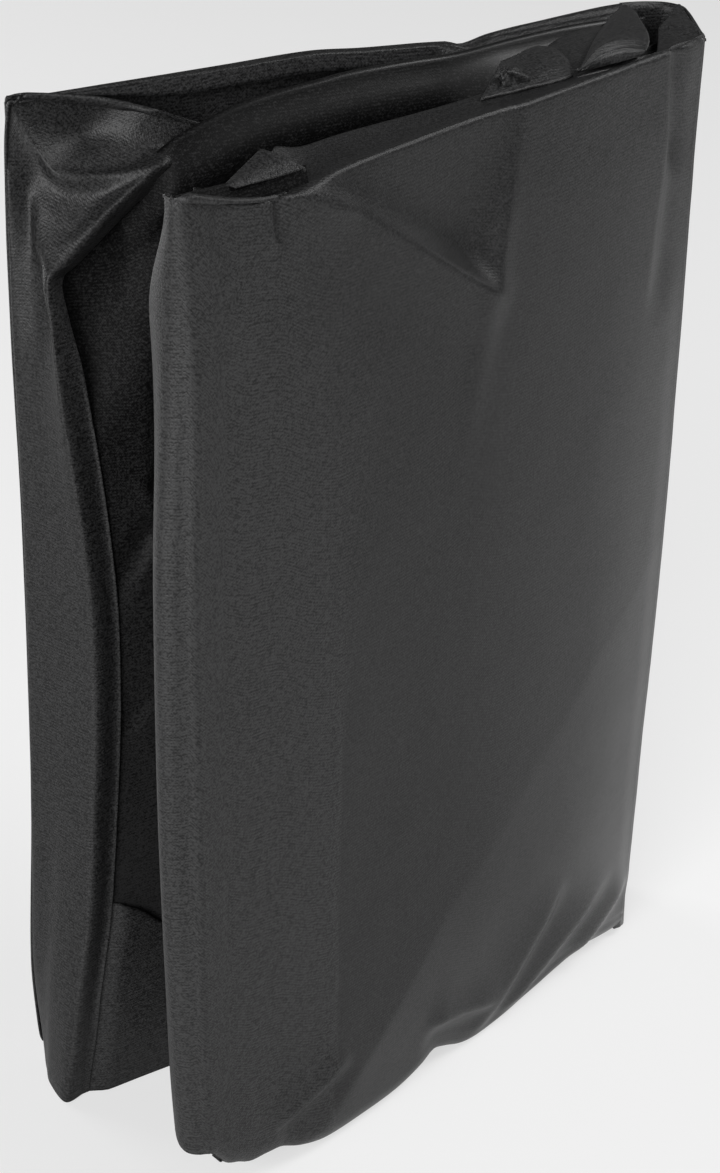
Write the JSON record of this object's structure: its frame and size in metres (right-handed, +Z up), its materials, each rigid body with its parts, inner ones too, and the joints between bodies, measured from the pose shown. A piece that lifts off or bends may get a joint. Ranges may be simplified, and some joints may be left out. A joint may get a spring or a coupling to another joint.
{
  "type": "folded grill cover",
  "caption": "Dark cloth cover for an outdoor grill, folded into a thick two-leaf packet that stands upright and opens like a book.",
  "frame": {"origin": "centre of the packet's footprint, on the surface that it stands on", "axes": "+Z up along the fold edges, -X towards the open side of the V, +X towards the spine fold, -Y towards the front leaf"},
  "size_m": [0.2634, 0.1208, 0.3772],
  "materials": {
    "coated_cloth": "dark grey woven polyester with a thin, slightly shiny coating",
    "coated_cloth_light": "the same cloth where it lies open to the light",
    "coated_cloth_shade": "the same cloth inside the packet, matt"
  },
  "bodies": {
    "back_leaf": {"back_wrap": "coated_cloth", "back_ply_stack": "coated_cloth_shade", "back_inner_ply": "coated_cloth_shade", "back_end_panel": "coated_cloth", "back_corner_bowl": "coated_cloth_light", "back_hem_fold": "coated_cloth", "tongue_flap": "coated_cloth_light", "spine_wrap": "coated_cloth"},
    "front_leaf": {"front_wrap": "coated_cloth", "front_ply_stack": "coated_cloth_shade", "front_inner_ply": "coated_cloth_shade", "front_end_panel": "coated_cloth", "front_corner_ply": "coated_cloth", "front_roll_facet": "coated_cloth", "corner_flap": "coated_cloth_light", "seam_tuft": "coated_cloth"}
  },
  "joints": [
    {"name": "spine_fold", "type": "hinge", "parent": "back_leaf", "child": "front_leaf", "pos_m": [0.12247, 0, 0], "axis": [0, 0, 1], "range_deg": [-13, 160], "deforming": ["spine_wrap"]}
  ]
}
